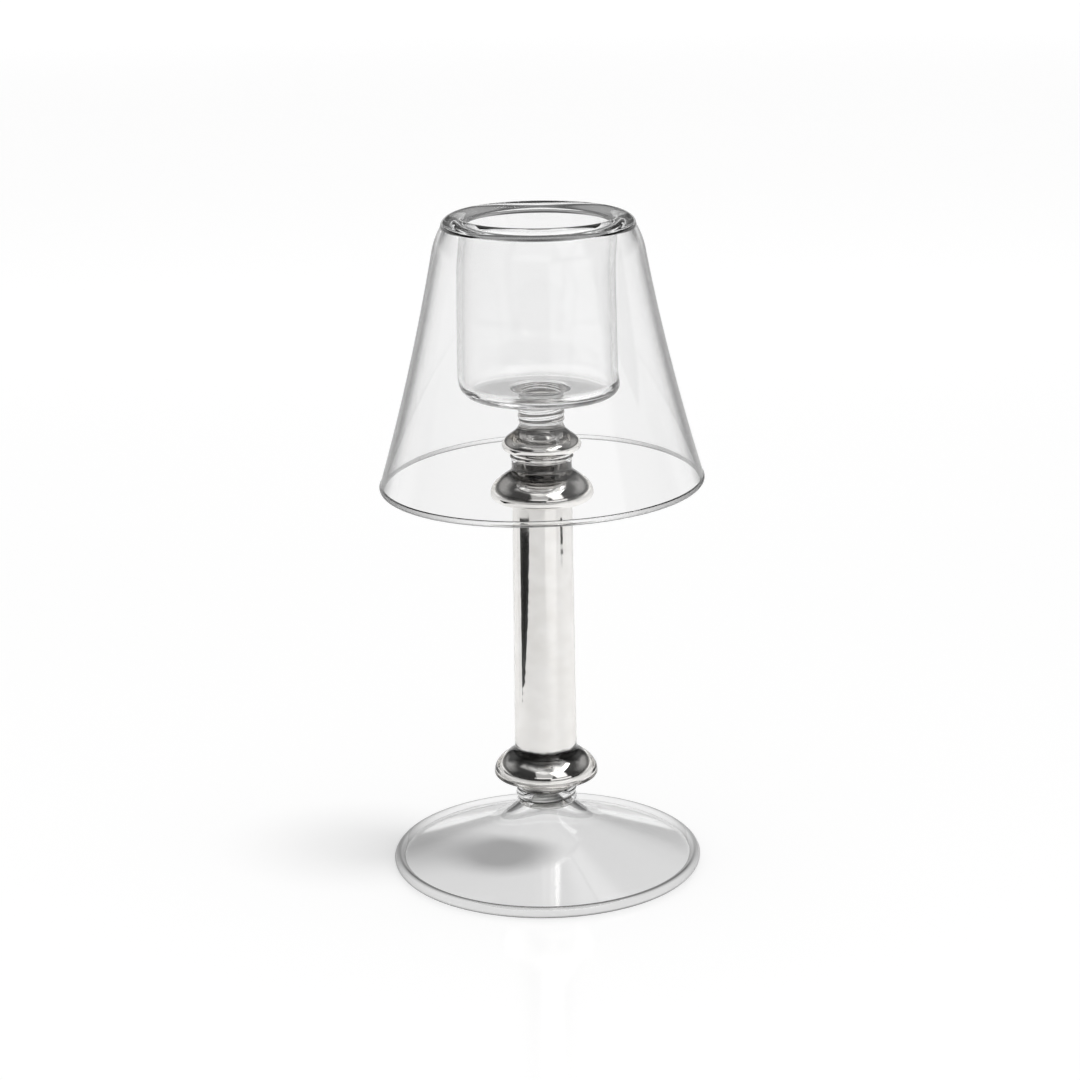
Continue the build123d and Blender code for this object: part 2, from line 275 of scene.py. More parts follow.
def rope(tube, start, end, count, bulge):
    """A move that winds a strand of glass round a tube: on the tube's outside, a place moves out by bulge
    times the size of a sine to the power STRAND_ROUND. That size comes back once in a turn round the tube
    and count times on the way up."""

    def move(place):
        x, y, z = place[..., 0], place[..., 1], place[..., 2]
        share = np.clip((z - start) / (end - start), 0, 1)
        swell = np.abs(np.sin(pi * count * share - np.arctan2(y, x) / 2)) ** STRAND_ROUND
        ends = ease(ROPE_ENDS * share) * ease(ROPE_ENDS * (1 - share))
        out = bulge * swell * ends * (np.hypot(x, y) > tube - ON_TUBE)
        wider = 1 + out / np.maximum(np.hypot(x, y), 1)
        return np.stack([x * wider, y * wider, z], axis=-1)

    return move


def turned(name, runs, move=None):
    """A closed piece turned about the lamp's axis: the point (radius, height) at angle a becomes
    (radius cos a, radius sin a, height), and then moves as blown glass does. Each run is (points, fused),
    drawn with the glass on its left. An outline ends on the axis or where it began."""
    rows = np.concatenate([points[:-1] for points, fused in runs] + [runs[-1][0][-1:]])
    fused = np.concatenate([np.full(len(points) - 1, is_seam) for points, is_seam in runs])
    ring_closed = np.allclose(rows[0], rows[-1], atol=ON_AXIS)
    a = 2 * pi * np.arange(AROUND) / AROUND
    radius, height = rows[:, :1], rows[:, 1:]
    place = np.stack([radius * np.cos(a), radius * np.sin(a), height + 0 * a], axis=-1)
    if move:
        place = move(place)
    place = blown(place) * MM

    index = np.arange(len(rows) * AROUND).reshape(-1, AROUND)
    if ring_closed:
        index[-1] = index[0]
    on_axis = rows[:, 0] < ON_AXIS
    index[on_axis] = index[on_axis, :1]
    here, after = index[:-1], index[1:]
    corners = np.stack([here, np.roll(here, -1, 1), np.roll(after, -1, 1), after], axis=-1)
    starts, ends = on_axis[:-1], on_axis[1:]
    plain = ~(starts | ends)
    groups = (
        corners[plain].reshape(-1, 4),
        corners[starts][..., [0, 2, 3]].reshape(-1, 3),
        corners[ends][..., [0, 1, 2]].reshape(-1, 3),
    )
    used = np.unique(np.concatenate([group.ravel() for group in groups]))
    faces = [face for group in groups for face in np.searchsorted(used, group).tolist()]
    seam_faces = np.concatenate([np.repeat(fused[mask], AROUND) for mask in (plain, starts, ends)])

    mesh = bpy.data.meshes.new(name)
    mesh.from_pydata(place.reshape(-1, 3)[used], [], faces, shade_flat=False)
    mesh.polygons.foreach_set("material_index", seam_faces.astype(np.int32))
    steps = np.diff(rows, axis=0)
    way = np.arctan2(steps[:, 1], steps[:, 0])
    turn = np.abs((np.diff(way, prepend=way[-1:]) + pi) % (2 * pi) - pi)
    edge_of_seam = fused != np.roll(fused, 1)
    creased = np.append((turn > radians(CREASE)) | edge_of_seam, False)
    ends_of_edge = np.empty(2 * len(mesh.edges), np.int32)
    mesh.edges.foreach_get("vertices", ends_of_edge)
    row = used[ends_of_edge].reshape(-1, 2) // AROUND
    sharp = (row[:, 0] == row[:, 1]) & creased[row[:, 0]]
    mesh.attributes.new("sharp_edge", "BOOLEAN", "EDGE").data.foreach_set("value", sharp)
    mesh.validate()
    piece = bpy.data.objects.new(name, mesh)
    bpy.context.scene.collection.objects.link(piece)
    return piece


# Shader nodes

def node(tree, kind, links=None, **values):
    """Adds a shader node, sets its properties and its inputs, and links sockets into it."""
    made = tree.nodes.new(kind)
    for key, value in values.items():
        if hasattr(made, key):
            setattr(made, key, value)
        else:
            made.inputs[key.replace("_", " ")].default_value = value
    for key, socket in (links or {}).items():
        tree.links.new(socket, made.inputs[key])
    return made


def sums(tree, operation, *terms):
    """One Math node: terms are numbers or sockets."""
    made = tree.nodes.new("ShaderNodeMath")
    made.operation = operation
    for slot, term in zip(made.inputs, terms):
        if isinstance(term, (int, float)):
            slot.default_value = term
        else:
            tree.links.new(term, slot)
    return made.outputs[0]


def either(tree, choice, yes, no):
    """One of two values, or a mix of them, by a choice from nought to one."""
    kept = sums(tree, "MULTIPLY", no, sums(tree, "SUBTRACT", 1.0, choice))
    return sums(tree, "ADD", sums(tree, "MULTIPLY", yes, choice), kept)


def from_axis(tree, x, y):
    """Distance of a place from the lamp's axis."""
    squares = [sums(tree, "MULTIPLY", along, along) for along in (x, y)]
    return sums(tree, "SQRT", sums(tree, "ADD", *squares))


def smooth_step(tree, value, start, end, first=0.0, last=1.0):
    """First up to the value start, last from the value end on, and a smooth step between."""
    span = {"From_Min": start, "From_Max": end, "To_Min": first, "To_Max": last}
    made = node(tree, "ShaderNodeMapRange", {"Value": value}, interpolation_type="SMOOTHSTEP", **span)
    return made.outputs["Result"]


def inside_edge(tree, value, edge, soft):
    """One where a value is past an edge, nought where it isn't, with a soft step of that half width."""
    return smooth_step(tree, value, edge - soft, edge + soft)


def ramp(tree, factor, *stops):
    """A colour ramp through stops of (place, colour)."""
    made = node(tree, "ShaderNodeValToRGB", {"Fac": factor})
    points = made.color_ramp.elements
    while len(points) < len(stops):
        points.new(0.5)
    for point, (place, colour) in zip(points, stops):
        point.position = place
        point.color = (*colour, 1)
    return made.outputs["Color"]


def ramp_grey(tree, factor, *stops):
    """A ramp through stops of (place, grey)."""
    return ramp(tree, factor, *[(place, (grey, grey, grey)) for place, grey in stops])


def new_material(name):
    """An empty node material and its output node."""
    material = bpy.data.materials.new(name)
    material.use_nodes = True
    material.node_tree.nodes.clear()
    return material, material.node_tree, node(material.node_tree, "ShaderNodeOutputMaterial")


# Materials

# Painted edge shade: greys of glass by how far it is seen edge on, from nought to one, in place of the dark
# edges that refraction draws
CLEAR_EDGE = ((0.5, 0.99), (1.0, 0.98))
WOUND_EDGE = ((0.5, 0.99), (0.8, 0.75), (1.0, 0.4))
HEM_EDGE = ((0.05, 0.95), (0.25, 0.55), (0.50, 0.28), (1.0, 0.15))
SHADE_EDGE = ((0.40, 0.99), (0.62, 0.80), (0.76, 0.25), (0.86, 0.03), (1.0, 0.01))
CUP_EDGE = ((0.5, 0.99), (0.75, 0.85), (0.9, 0.5), (1.0, 0.3))
RING_EDGE = ((0.5, 0.99), (0.7, 0.92), (0.85, 0.6), (1.0, 0.2))
BEAD_EDGE = ((0.30, 0.99), (0.55, 0.70), (0.75, 0.30), (1.0, 0.1))
# Painted shade: dark lines round the foot's bead in place of the shade and dark refractions of the rolled
# rim
PAINTED_BEAD_SHADE_LINES = (
    # degrees round the foot's bead, grey
    (-70, 0.05),
    (-35, 0.08),
    (-15, 0.95),
    (50, 0.97),
    (72, 0.4),
    (82, 0.06),
    (95, 0.06),
    (108, 0.9),
    (179, 0.97),
)
PAINTED_BEAD_SHADE_FRONT = (0.5, -0.4)  # share of the way to the back where these lines start, and are full
# Painted shade in the grooves between the wound strands of the collar and the neck
PAINTED_GROOVE_SHADE = ((0.0, 0.02), (0.22, 0.12), (0.45, 0.97))  # how high on a strand, grey
UPRIGHT = (0.75, 0.35)  # lean of a thin wall's normal where its edge greys start, and are full
THICK_SHADOW, THIN_SHADOW = 0.975, 0.994  # share of light that each surface lets through to the shadow
# Painted reflection: dark bands on the silver film of the knops and the waist, in place of the dark studio
# they mirror
PAINTED_DARK_BANDS = (
    # height, how bright the film is
    (35.4, 1.0),
    (36.0, 0.15),
    (38.7, 0.15),
    (39.3, 1.0),
    (127.3, 1.0),
    (127.9, 0.3),
    (132.8, 0.3),
    (133.6, 1.0),
    (141.1, 1.0),
    (141.6, 0.3),
    (143.4, 0.3),
    (143.9, 1.0),
)
CLOUDED = (
    # height, how rough the film is
    (118.0, 0.0),
    (122.0, 0.08),
    (137.0, 0.05),
)
DARK_BANDS_AND_CLOUD_DRIFT = 3.0  # how far the edges of the painted dark bands and of the cloud wander up and down


def painted_bead_shade(tree, place):
    """Painted shade: dark lines along the foot's bead, strong at the lamp's front, by stops of angle round
    the bead and grey.
    """
    part = node(tree, "ShaderNodeSeparateXYZ", {"Vector": place}).outputs
    out = from_axis(tree, part["X"], part["Y"])
    across = sums(tree, "SUBTRACT", out, rim_middle[0] * MM)
    up = sums(tree, "SUBTRACT", part["Z"], rim_middle[1] * MM)
    share = sums(tree, "ADD", sums(tree, "DIVIDE", sums(tree, "ARCTAN2", up, across), 2 * pi), 0.5)
    grey = ramp_grey(tree, share, *[(0.5 + angle / 360, grey) for angle, grey in PAINTED_BEAD_SHADE_LINES])
    back = sums(tree, "DIVIDE", part["Y"], out)
    start, full = PAINTED_BEAD_SHADE_FRONT
    front = node(tree, "ShaderNodeMapRange", {"Value": back}, From_Min=start, From_Max=full)
    return either(tree, front.outputs["Result"], grey, 1.0)


def painted_groove_shade(start, end, count):
    """Painted shade: dark lines in the grooves of a wound strand, where the sine that winds it is near
    nought.
    """

    def lines(tree, place):
        part = node(tree, "ShaderNodeSeparateXYZ", {"Vector": place}).outputs
        rise = sums(tree, "SUBTRACT", part["Z"], start * MM)
        turns = sums(tree, "MULTIPLY", rise, pi * count / ((end - start) * MM))
        half_angle = sums(tree, "DIVIDE", sums(tree, "ARCTAN2", part["Y"], part["X"]), 2.0)
        swell = sums(tree, "ABSOLUTE", sums(tree, "SINE", sums(tree, "SUBTRACT", turns, half_angle)))
        return ramp_grey(tree, swell, *PAINTED_GROOVE_SHADE)

    return lines


def blown_glass(name, shadow_grey, edge_stops, upright_only=False, lines=None):
    """Blown soda glass: clear, with slow ripples, and with painted edge shade: greyer where it is seen edge
    on, by stops of (how far edge on, grey). In thin walls only upright places get greyer. Lines is a
    function that gives the grey of painted shade lines on it."""
    material, tree, out = new_material(name)
    place = node(tree, "ShaderNodeTexCoord").outputs["Object"]
    ripple = node(tree, "ShaderNodeTexNoise", {"Vector": place}, Scale=70.0, Detail=1.0)
    bump = node(tree, "ShaderNodeBump", {"Height": ripple.outputs["Fac"]}, Strength=0.1, Distance=0.0002)
    facing = node(tree, "ShaderNodeLayerWeight", Blend=0.5).outputs["Facing"]
    tint = ramp_grey(tree, facing, *edge_stops)
    if upright_only:
        normal = node(tree, "ShaderNodeNewGeometry").outputs["Normal"]
        lean = sums(tree, "ABSOLUTE", node(tree, "ShaderNodeSeparateXYZ", {"Vector": normal}).outputs["Z"])
        start, full = UPRIGHT
        level = node(tree, "ShaderNodeMapRange", {"Value": lean}, From_Min=full, From_Max=start)
        links = {"Factor": level.outputs["Result"], "A": tint}
        mixed = node(tree, "ShaderNodeMix", links, data_type="RGBA")
        mixed.inputs["B"].default_value = (0.99, 0.99, 0.99, 1)
        tint = mixed.outputs["Result"]
    if lines:
        tint = sums(tree, "MULTIPLY", tint, lines(tree, place))
    glass = node(
        tree,
        "ShaderNodeBsdfPrincipled",
        {"Base Color": tint, "Normal": bump.outputs["Normal"]},
        Roughness=0.0,
        IOR=1.473,
        Transmission_Weight=1.0,
        Specular_Tint=(0.6, 0.6, 0.6, 1),
    )
    through = node(tree, "ShaderNodeBsdfTransparent", Color=(shadow_grey, shadow_grey, shadow_grey, 1))
    shadow = node(tree, "ShaderNodeLightPath").outputs["Is Shadow Ray"]
    mixed = node(tree, "ShaderNodeMixShader", {0: shadow, 1: glass.outputs[0], 2: through.outputs[0]})
    tree.links.new(mixed.outputs[0], out.inputs["Surface"])
    return material


def fused_seam():
    """Inside a fused joint there is no surface, so light passes straight through."""
    material, tree, out = new_material("fused_seam")
    through = node(tree, "ShaderNodeBsdfTransparent", Color=(1, 1, 1, 1))
    tree.links.new(through.outputs[0], out.inputs["Surface"])
    return material


def silver():
    """Chemical silvering seen through the glass: a bright, slightly warm mirror with faint clouding, and
    painted reflection: dark bands on the knops and the waist in place of the dark studio they mirror."""
    material, tree, out = new_material("silver")
    place = node(tree, "ShaderNodeTexCoord").outputs["Object"]
    cloud = node(tree, "ShaderNodeTexNoise", {"Vector": place}, Scale=160.0, Detail=4.0).outputs["Fac"]
    wave = node(tree, "ShaderNodeTexNoise", {"Vector": place}, Scale=220.0, Detail=1.0).outputs["Fac"]
    bright = ramp(tree, cloud, (0.3, (0.90, 0.882, 0.855)), (0.7, (0.95, 0.938, 0.920)))
    height = node(tree, "ShaderNodeSeparateXYZ", {"Vector": place}).outputs["Z"]
    uneven = sums(tree, "MULTIPLY", sums(tree, "SUBTRACT", cloud, 0.5), DARK_BANDS_AND_CLOUD_DRIFT * MM)
    share = sums(tree, "DIVIDE", sums(tree, "ADD", height, uneven), high("rim_ring") * MM)
    dark_bands = ramp_grey(tree, share, *[(z / high("rim_ring"), grey) for z, grey in PAINTED_DARK_BANDS])
    tone = node(tree, "ShaderNodeMix", {"A": bright, "B": dark_bands}, data_type="RGBA", blend_type="MULTIPLY")
    tone.inputs["Factor"].default_value = 1.0
    clouded = ramp_grey(tree, share, *[(z / high("rim_ring"), grey) for z, grey in CLOUDED])
    rough = sums(tree, "MAXIMUM", ramp_grey(tree, cloud, (0.3, 0.02), (0.75, 0.07)), clouded)
    bump = node(tree, "ShaderNodeBump", {"Height": wave}, Strength=0.3, Distance=0.0001)
    mirror = node(
        tree,
        "ShaderNodeBsdfPrincipled",
        {"Base Color": tone.outputs["Result"], "Roughness": rough, "Normal": bump.outputs["Normal"]},
        Metallic=1.0,
    )
    tree.links.new(mirror.outputs[0], out.inputs["Surface"])
    return material


def plug_rubber():
    """A pale, cloudy silicone plug with a fine grain, that lets light through."""
    material, tree, out = new_material("plug_rubber")
    place = node(tree, "ShaderNodeTexCoord").outputs["Object"]
    grain = node(tree, "ShaderNodeTexNoise", {"Vector": place}, Scale=900.0, Detail=3.0).outputs["Fac"]
    tone = ramp(tree, grain, (0.3, (0.82, 0.82, 0.80)), (0.7, (0.90, 0.90, 0.88)))
    rough = ramp_grey(tree, grain, (0.3, 0.30), (0.7, 0.40))
    bump = node(tree, "ShaderNodeBump", {"Height": grain}, Strength=0.3, Distance=0.0002)
    rubber = node(
        tree,
        "ShaderNodeBsdfPrincipled",
        {"Base Color": tone, "Roughness": rough, "Normal": bump.outputs["Normal"]},
        IOR=1.41,
        Transmission_Weight=1.0,
    )
    tree.links.new(rubber.outputs[0], out.inputs["Surface"])
    return material


# The glass pieces, from the table up

def foot_rim():
    """The rolled rim: a round bead cut flat where it stands."""
    half_seam = degrees(atan2(FOOT_WALL / 2, rim_middle[0] - foot_seam))
    under = bend(rim_middle, rim_bead, rim_bead, 180 + half_seam, BEAD_TOUCH, 24)
    under[:, 1] = np.maximum(under[:, 1], 0)
    skin = bend(rim_middle, rim_bead, rim_bead, BEAD_TOUCH, 540 - half_seam, 48)
    return [(under, FUSED), (skin, SKIN), (straight(skin[-1], under[0], 3), FUSED)]


def foot():
    """The flared foot: a sloping wall that sweeps up to the collar, hollow below up to the fill hole."""
    slope = radians(FOOT_SLOPE)

    def side(height, sweep_radius, end):
        """Up the slope from the rim, and on by a round sweep to the end."""
        turn = (sweep_radius, height + (foot_seam - sweep_radius) * tan(slope))
        rise = straight((foot_seam, height), turn, 60)
        return chain(rise, leaving(turn, (-cos(slope), sin(slope)), end, 32))

    below, above = rim_middle[1] - FOOT_WALL / 2, rim_middle[1] + FOOT_WALL / 2
    under = side(below, FOOT_SWEEP_RADIUS - FOOT_WALL, (FILL_BORE_RADIUS, foot_top))
    over = side(above, FOOT_SWEEP_RADIUS, (COLLAR_RADIUS, foot_top))
    return [
        (under[::-1], SKIN),
        (straight(under[0], over[0], 3), FUSED),
        (over, SKIN),
        (straight(over[-1], under[-1], 3), FUSED),
    ]


def foot_collar():
    """The collar, wound with wraps of glass round the fill hole."""
    return [
        (straight((FILL_BORE_RADIUS, foot_top), (COLLAR_RADIUS, foot_top), 3), FUSED),
        (straight((COLLAR_RADIUS, foot_top), (COLLAR_RADIUS, knop_low), 60), SKIN),
        (straight((COLLAR_RADIUS, knop_low), (FILL_BORE_RADIUS, knop_low), 3), FUSED),
        (straight((FILL_BORE_RADIUS, knop_low), (FILL_BORE_RADIUS, foot_top), 6), SKIN),
    ]


def knop_side(start, radius, edge, floor, pulls, end):
    """The side of a knop or of its hollow, upwards: level from start out to a quarter round, then a cubic
    flare to the end, upright where it leaves the round and where it arrives."""
    level = floor + edge
    rise = end[1] - level
    pull_low, pull_high = (radius, level + pulls[0] * rise), (end[0], end[1] - pulls[1] * rise)
    return chain(
        straight((start, floor), (radius - edge, floor), 10),
        bend((radius - edge, level), edge, edge, -90, 0, 20),
        sweep((radius, level), pull_low, pull_high, end, 44),
    )


def lower_hollow():
    """The wall of the hollow in the lower knop, from the fill hole up to the stem."""
    floor, radius = knop_low + LOWER_HOLLOW_FLOOR, wide("lower_knop") - LOWER_KNOP_WALL
    return chain(
        straight((FILL_BORE_RADIUS, knop_low), (FILL_BORE_RADIUS, floor), 4),
        knop_side(FILL_BORE_RADIUS, radius, LOWER_HOLLOW_EDGE, floor, KNOP_FLARE, (bore_low, stem_low)),
    )


def stem_hollow():
    """The tapered bore of the stem."""
    return straight((bore_low, stem_low), (bore_high, stem_high), 60)


def upper_hollow():
    """The wall of the hollow in the upper knop, from the stem up to the waist."""
    floor, radius = stem_high + UPPER_HOLLOW_FLOOR, wide("upper_knop") - UPPER_KNOP_WALL
    return chain(
        straight((bore_high, stem_high), (bore_high, floor), 4),
        knop_side(bore_high, radius, UPPER_HOLLOW_EDGE, floor, KNOP_FLARE, (waist_bore_low, waist_low)),
    )


def waist_hollow():
    """The bore of the waist: tapered, and upright under the small knop."""
    taper_high = small_low - WAIST_BORE_UPRIGHT
    return chain(
        straight((waist_bore_low, waist_low), (waist_bore_high, taper_high), 10),
        straight((waist_bore_high, taper_high), (waist_bore_high, small_low), 6),
    )


def small_hollow():
    """The wall of the hollow in the small knop, from the waist up to the dome that closes it."""
    floor, radius = small_low + SMALL_HOLLOW_FLOOR, wide("small_knop") - SMALL_KNOP_WALL
    top = (HOLLOW_TOP_RADIUS, neck_low - HOLLOW_TOP_DROP)
    return chain(
        straight((waist_bore_high, small_low), (waist_bore_high, floor), 4),
        knop_side(waist_bore_high, radius, SMALL_HOLLOW_EDGE, floor, SMALL_KNOP_FLARE, top),
        dome(HOLLOW_TOP_RADIUS, HOLLOW_DOME_RISE, top[1])[::-1],
    )


def lower_knop():
    """The knop over the collar, with the silvered hollow inside."""
    end = (STEM_RADIUS_LOW, stem_low)
    return [
        (straight((FILL_BORE_RADIUS, knop_low), (COLLAR_RADIUS, knop_low), 3), FUSED),
        (knop_side(COLLAR_RADIUS, wide("lower_knop"), LOWER_KNOP_EDGE, knop_low, KNOP_FLARE, end), SKIN),
        (straight(end, (bore_low, stem_low), 3), FUSED),
        (lower_hollow()[::-1], SKIN),
    ]


def stem_tube():
    """The tapered tube of the stem, swept out onto the upper knop."""
    top, fillet_low = STEM_RADIUS_HIGH + SEAM_FILLET, stem_high - SEAM_FILLET
    outside = chain(
        straight((STEM_RADIUS_LOW, stem_low), (STEM_RADIUS_HIGH, fillet_low), 60),
        bend((top, fillet_low), SEAM_FILLET, SEAM_FILLET, 180, 90, 16),
    )
    return [
        (straight((bore_low, stem_low), (STEM_RADIUS_LOW, stem_low), 3), FUSED),
        (outside, SKIN),
        (straight((top, stem_high), (bore_high, stem_high), 3), FUSED),
        (stem_hollow()[::-1], SKIN),
    ]


def upper_knop():
    """The wide knop at the top of the stem."""
    start, end = STEM_RADIUS_HIGH + SEAM_FILLET, (WAIST_RADIUS, waist_low)
    return [
        (straight((bore_high, stem_high), (start, stem_high), 3), FUSED),
        (knop_side(start, wide("upper_knop"), UPPER_KNOP_EDGE, stem_high, KNOP_FLARE, end), SKIN),
        (straight(end, (waist_bore_low, waist_low), 3), FUSED),
        (upper_hollow()[::-1], SKIN),
    ]


def stem_waist():
    """The short tube between the upper and the small knop, with one wrap of glass round it."""
    ring_high = small_low - WAIST_RING_DROP
    wrap_low = ring_high - WAIST_RING_HEIGHT
    outside = chain(
        straight((WAIST_RADIUS, waist_low), (WAIST_RADIUS, wrap_low), 10),
        bulging(WAIST_RADIUS, WAIST_RING_BULGE, wrap_low, ring_high),
        straight((WAIST_RADIUS, ring_high), (WAIST_RADIUS, small_low), 5),
    )
    return [
        (straight((waist_bore_low, waist_low), (WAIST_RADIUS, waist_low), 3), FUSED),
        (outside, SKIN),
        (straight((WAIST_RADIUS, small_low), (waist_bore_high, small_low), 3), FUSED),
        (waist_hollow()[::-1], SKIN),
    ]


def small_knop():
    """The small knop under the neck, where the hollow closes."""
    widest, end = wide("small_knop"), (NECK_RADIUS, neck_low)
    return [
        (straight((waist_bore_high, small_low), (WAIST_RADIUS, small_low), 3), FUSED),
        (knop_side(WAIST_RADIUS, widest, SMALL_KNOP_EDGE, small_low, SMALL_KNOP_FLARE, end), SKIN),
        (straight(end, (0, neck_low), 6), FUSED),
        (small_hollow()[::-1], SKIN),
    ]


def cup_neck():
    """The clear solid neck that carries the cup, wound with low wraps."""
    flare_radius = NECK_RADIUS + NECK_FLARE
    outside = chain(
        straight((NECK_RADIUS, neck_low), (NECK_RADIUS, neck_high), 60),
        bend((flare_radius, neck_high), NECK_FLARE, NECK_FLARE, 180, 90, 24),
    )
    return [
        (straight((0, neck_low), (NECK_RADIUS, neck_low), 6), FUSED),
        (outside, SKIN),
        (straight((flare_radius, cup_low), (0, cup_low), 6), FUSED),
    ]


def candle_cup():
    """The cup, a touch wider below, with rounded corners and a low dome in its floor."""
    neck_end = NECK_RADIUS + NECK_FLARE
    corner, floor = CUP_CORNER + CUP_WALL, cup_low + CUP_FLOOR
    foot_radius, foot_bore = cup_radius + CUP_SWELL, cup_bore + CUP_SWELL
    outside = chain(
        straight((neck_end, cup_low), (foot_radius - corner, cup_low), 12),
        bend((foot_radius - corner, cup_low + corner), corner, corner, -90, 0, 28),
        straight((foot_radius, cup_low + corner), (cup_radius, ring_low), 40),
    )
    inside = chain(
        straight((cup_bore, ring_low), (foot_bore, floor + CUP_CORNER), 40),
        bend((foot_bore - CUP_CORNER, floor + CUP_CORNER), CUP_CORNER, CUP_CORNER, 0, -90, 24),
        straight((foot_bore - CUP_CORNER, floor), (CUP_KICK_RADIUS, floor), 12),
        dome(CUP_KICK_RADIUS, CUP_KICK_RISE, floor, 24)[::-1],
    )
    return [
        (straight((0, cup_low), (neck_end, cup_low), 6), FUSED),
        (outside, SKIN),
        (straight((cup_radius, ring_low), (cup_bore, ring_low), 3), FUSED),
        (inside, SKIN),
    ]


def rim_ring():
    """The thick ring between the cup's mouth and the shade's top: quarter ovals up from the shade to the
    crest and down to the cup, and a low arched roof over the air gap."""
    shade_in = shade_top - SHADE_WALL
    edge, top = ring_low + RIM_RING_EDGE, high("rim_ring")
    crest = (cup_bore + shade_top) / 2
    share = np.linspace(0, 1, 16)
    arch = ring_low + 4 * RIM_RING_ARCH * share * (1 - share)
    roof = np.stack([cup_radius + (shade_in - cup_radius) * share, arch], axis=1)
    over = chain(
        bend((crest, ring_low), shade_top - crest, top - ring_low, 0, 90, 32),
        bend((crest, edge), crest - cup_bore, top - edge, 90, 180, 28),
        straight((cup_bore, edge), (cup_bore, ring_low), 4),
    )
    return [
        (straight((cup_bore, ring_low), (cup_radius, ring_low), 3), FUSED),
        (roof, SKIN),
        (straight((shade_in, ring_low), (shade_top, ring_low), 3), FUSED),
        (over, SKIN),
    ]


def shade_side(inset):
    """The shade's flank and shoulder from hem up to ring: the flank is a line bowed in by a parabola, and
    the shoulder a round arc that leaves it smoothly and turns in towards the ring."""
    hem = np.array((hem_radius - inset, hem_seam))
    shoulder = np.array((SHADE_SHOULDER_RADIUS - inset, ring_low - SHADE_SHOULDER_DROP))
    share = np.linspace(0, 1, 60)[:, None]
    across = np.array((shoulder[1] - hem[1], hem[0] - shoulder[0]))
    across = across / np.hypot(*across)
    flank = hem + share * (shoulder - hem) - 4 * SHADE_BOW * share * (1 - share) * across
    return chain(flank, leaving(shoulder, flank[-1] - flank[-2], (shade_top - inset, ring_low), 24))


def shade():
    """The flared shade, open below."""
    outside, inside = shade_side(0), shade_side(SHADE_WALL)[::-1]
    return [
        (straight(inside[-1], outside[0], 3), FUSED),
        (outside, SKIN),
        (straight(outside[-1], inside[0], 3), FUSED),
        (inside, SKIN),
    ]


def shade_hem():
    """The bead along the shade's lower edge."""
    bead = SHADE_WALL / 2 + SHADE_HEM_LIP
    middle = (hem_radius - SHADE_WALL / 2, hem_seam - sqrt(bead**2 - (SHADE_WALL / 2) ** 2))
    half_seam = degrees(atan2(hem_seam - middle[1], SHADE_WALL / 2))
    skin = bend(middle, bead, bead, -180 - half_seam, half_seam, 40)
    return [(skin, SKIN), (straight(skin[-1], skin[0], 3), FUSED)]


def silver_lining():
    """The mirror film on the whole wall of the hollow: its face lies in the glass and its back in the
    hollow."""
    fill = straight((FILL_BORE_RADIUS, high("seal_plug")), (FILL_BORE_RADIUS, knop_low), 10)
    wall = chain(fill, lower_hollow(), stem_hollow(), upper_hollow(), waist_hollow(), small_hollow())[::-1]
    face = shifted(wall, SILVER_BITE)[::-1]
    back = shifted(wall, SILVER_BITE - SILVER_FILM)
    return [(back, SKIN), (straight(back[-1], face[0], 2), SKIN), (face, SKIN)]


def seal_plug():
    """The soft plug in the fill hole, with rounded edges."""
    radius, edge = FILL_BORE_RADIUS - PLUG_PLAY, PLUG_EDGE
    start, end = low("seal_plug"), high("seal_plug")
    side = chain(
        straight((0, start), (radius - edge, start), 6),
        bend((radius - edge, start + edge), edge, edge, -90, 0, 10),
        bend((radius - edge, end - edge), edge, edge, 0, 90, 10),
        straight((radius - edge, end), (0, end), 6),
    )
    return [(side, SKIN)]


# Building the lamp

collar_groove_shade = painted_groove_shade(foot_top, knop_low, COLLAR_WRAPS)
neck_groove_shade = painted_groove_shade(neck_low, neck_high, NECK_WRAPS)
thick_glass = blown_glass("clear_glass", THICK_SHADOW, CLEAR_EDGE)
shade_glass = blown_glass("shade_glass", THIN_SHADOW, SHADE_EDGE, upright_only=True)
cup_glass = blown_glass("cup_glass", THIN_SHADOW, CUP_EDGE, upright_only=True)
ring_glass = blown_glass("ring_glass", THICK_SHADOW, RING_EDGE)
bead_glass = blown_glass("bead_glass", THICK_SHADOW, BEAD_EDGE, lines=painted_bead_shade)
hem_glass = blown_glass("hem_glass", THICK_SHADOW, HEM_EDGE)
collar_glass = blown_glass("collar_glass", THICK_SHADOW, WOUND_EDGE, lines=collar_groove_shade)
neck_glass = blown_glass("neck_glass", THICK_SHADOW, WOUND_EDGE, lines=neck_groove_shade)
seam, mirror, rubber = fused_seam(), silver(), plug_rubber()
GLASS = {
    "candle_cup": cup_glass,
    "shade": shade_glass,
    "shade_hem": hem_glass,
    "rim_ring": ring_glass,
    "foot_rim": bead_glass,
    "foot_collar": collar_glass,
    "cup_neck": neck_glass,
}
MOVES = {
    "shade": skewed_hem,
    "shade_hem": skewed_hem,
    "candle_cup": shifted_cup,
    "foot_collar": rope(COLLAR_RADIUS, foot_top, knop_low, COLLAR_WRAPS, COLLAR_WRAP_BULGE),
    "cup_neck": rope(NECK_RADIUS, neck_low, neck_high, NECK_WRAPS, NECK_WRAP_BULGE),
}
GLASS_PIECES = (
    foot_rim,
    foot,
    foot_collar,
    lower_knop,
    stem_tube,
    upper_knop,
    stem_waist,
    small_knop,
    cup_neck,
    candle_cup,
    rim_ring,
    shade,
    shade_hem,
)
for outline in GLASS_PIECES:
    cad_node = outline.__name__
    piece = turned(cad_node + "_glass", outline(), MOVES.get(cad_node))
    piece.data.materials.append(GLASS.get(cad_node, thick_glass))
    piece.data.materials.append(seam)
    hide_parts(cad_node)
    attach(piece, "root")

